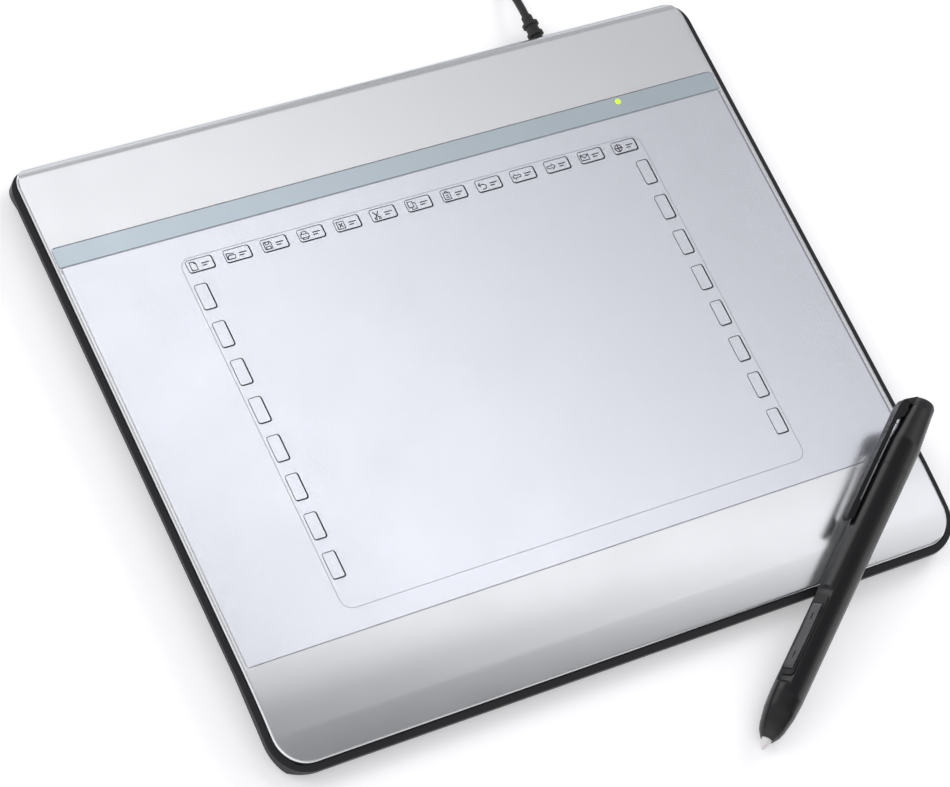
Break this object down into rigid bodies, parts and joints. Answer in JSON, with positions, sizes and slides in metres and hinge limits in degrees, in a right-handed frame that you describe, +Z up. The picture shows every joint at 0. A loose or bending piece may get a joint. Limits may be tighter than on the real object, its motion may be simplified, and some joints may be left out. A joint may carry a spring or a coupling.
{
  "type": "graphics tablet",
  "caption": "Flat drawing tablet with a sloping palm rest, a clear lift-up overlay, a corded plug and a battery pen with side rocker, pull-off cap and clip.",
  "frame": {"origin": "on the desk under the middle of the box round the tablet and its pen, without the cable", "axes": "+X along the tablet's width to the right, +Y towards its back edge, +Z up"},
  "size_m": [0.3016, 0.4276, 0.0326],
  "materials": {
    "case_black": "fine moulded texture, low sheen",
    "cover_silver": "satin silver paint",
    "band_grey": "satin, blue-grey",
    "light_green": "translucent, lit green",
    "sheet_lavender": "printed film, faint lavender grey",
    "film_clear": "clear film, satin surface",
    "rubber_black": "matt rubber",
    "rubber_grey": "matt rubber",
    "cord_black": "smooth jacket",
    "tie_black": "matt",
    "plug_black": "moulded",
    "plug_steel": "bright",
    "tongue_white": "moulded",
    "contact_gold": "gold-plated",
    "contact_steel": "nickel-plated",
    "board_green": "solder resist",
    "film_amber": "insulating film",
    "shield_steel": "rolled",
    "chip_black": "moulded",
    "chip_tan": "fired",
    "crystal_steel": "drawn",
    "led_white": "clear-topped",
    "socket_white": "moulded",
    "lead_red": "insulated wire",
    "ribbon_white": "flat ribbon",
    "screw_steel": "zinc-plated",
    "pen_black": "satin black",
    "bezel_grey": "satin dark grey",
    "button_grey": "satin grey",
    "nib_white": "smooth",
    "crown_grey": "satin dark grey",
    "clip_grey": "satin dark grey",
    "ferrite_grey": "sintered",
    "coil_copper": "enamelled wire",
    "battery_sleeve": "plain printed sleeve"
  },
  "bodies": {
    "tablet": {"bottom_case": "case_black", "top_cover": "cover_silver", "status_band": "band_grey", "light_pipe": "light_green", "work_sheet": "sheet_lavender", "cable_grommet": "rubber_black", "usb_cable": "cord_black", "usb_cable_coil": "cord_black", "usb_cable_end": "cord_black", "cable_tie": "tie_black", "usb_plug_body": "plug_black", "usb_plug_shell": "plug_steel", "usb_plug_tongue": "tongue_white", "usb_plug_contacts": "contact_gold", "sensor_board": "board_green", "insulating_film": "film_amber", "shield_plate": "shield_steel", "controller_board": "board_green", "controller_chips": "chip_black", "crystal": "crystal_steel", "small_components": "chip_tan", "status_led": "led_white", "cable_header": "socket_white", "cable_leads": "lead_red", "ribbon_cable": "ribbon_white", "ribbon_sockets": "socket_white", "board_screws": "screw_steel", "case_screws": "screw_steel", "foot_front_left": "rubber_grey", "foot_front_right": "rubber_grey", "foot_back_left": "rubber_grey", "foot_back_right": "rubber_grey"},
    "overlay": {"overlay_sheet": "film_clear"},
    "pen": {"pen_barrel": "pen_black", "nose_cone": "pen_black", "switch_bezel": "bezel_grey", "ferrite_core": "ferrite_grey", "antenna_coil": "coil_copper", "pressure_sensor": "chip_black", "pen_circuit_board": "board_green", "side_switches": "crystal_steel", "battery_spring": "contact_steel", "battery": "battery_sleeve"},
    "nib": {"pen_nib": "nib_white", "nib_holder": "tongue_white"},
    "rocker": {"rocker_button": "button_grey"},
    "cap": {"pen_cap": "pen_black", "pen_crown": "crown_grey", "battery_contact": "contact_steel"},
    "clip": {"pen_clip": "clip_grey"}
  },
  "joints": [
    {"name": "overlay_lift", "type": "hinge", "parent": "tablet", "child": "overlay", "pos_m": [0, 0.1058, 0.012], "axis": [-1, 0, 0], "range_deg": [0, 70]},
    {"name": "pen_lift", "type": "slide", "parent": "tablet", "child": "pen", "axis": [0, 0, 1], "range_m": [0, 0.12]},
    {"name": "nib_press", "type": "slide", "parent": "pen", "child": "nib", "axis": [0.7601, 0.631, 0.1552], "range_m": [0, 0.001], "stiffness_N_per_m": 400, "springref_m": -0.0005},
    {"name": "rocker_tilt", "type": "hinge", "parent": "pen", "child": "rocker", "pos_m": [0.06264, -0.11706, 0.01391], "axis": [0.3191, -0.5705, 0.7568], "range_deg": [-2.4, 2.4], "stiffness_Nm_per_rad": 0.05},
    {"name": "cap_pull", "type": "slide", "parent": "pen", "child": "cap", "axis": [0.7601, 0.631, 0.1552], "range_m": [0, 0.055]},
    {"name": "clip_flex", "type": "hinge", "parent": "cap", "child": "clip", "pos_m": [0.13916, -0.05073, 0.02793], "axis": [-0.016, 0.2569, -0.9663], "range_deg": [0, 4], "stiffness_Nm_per_rad": 0.6}
  ]
}
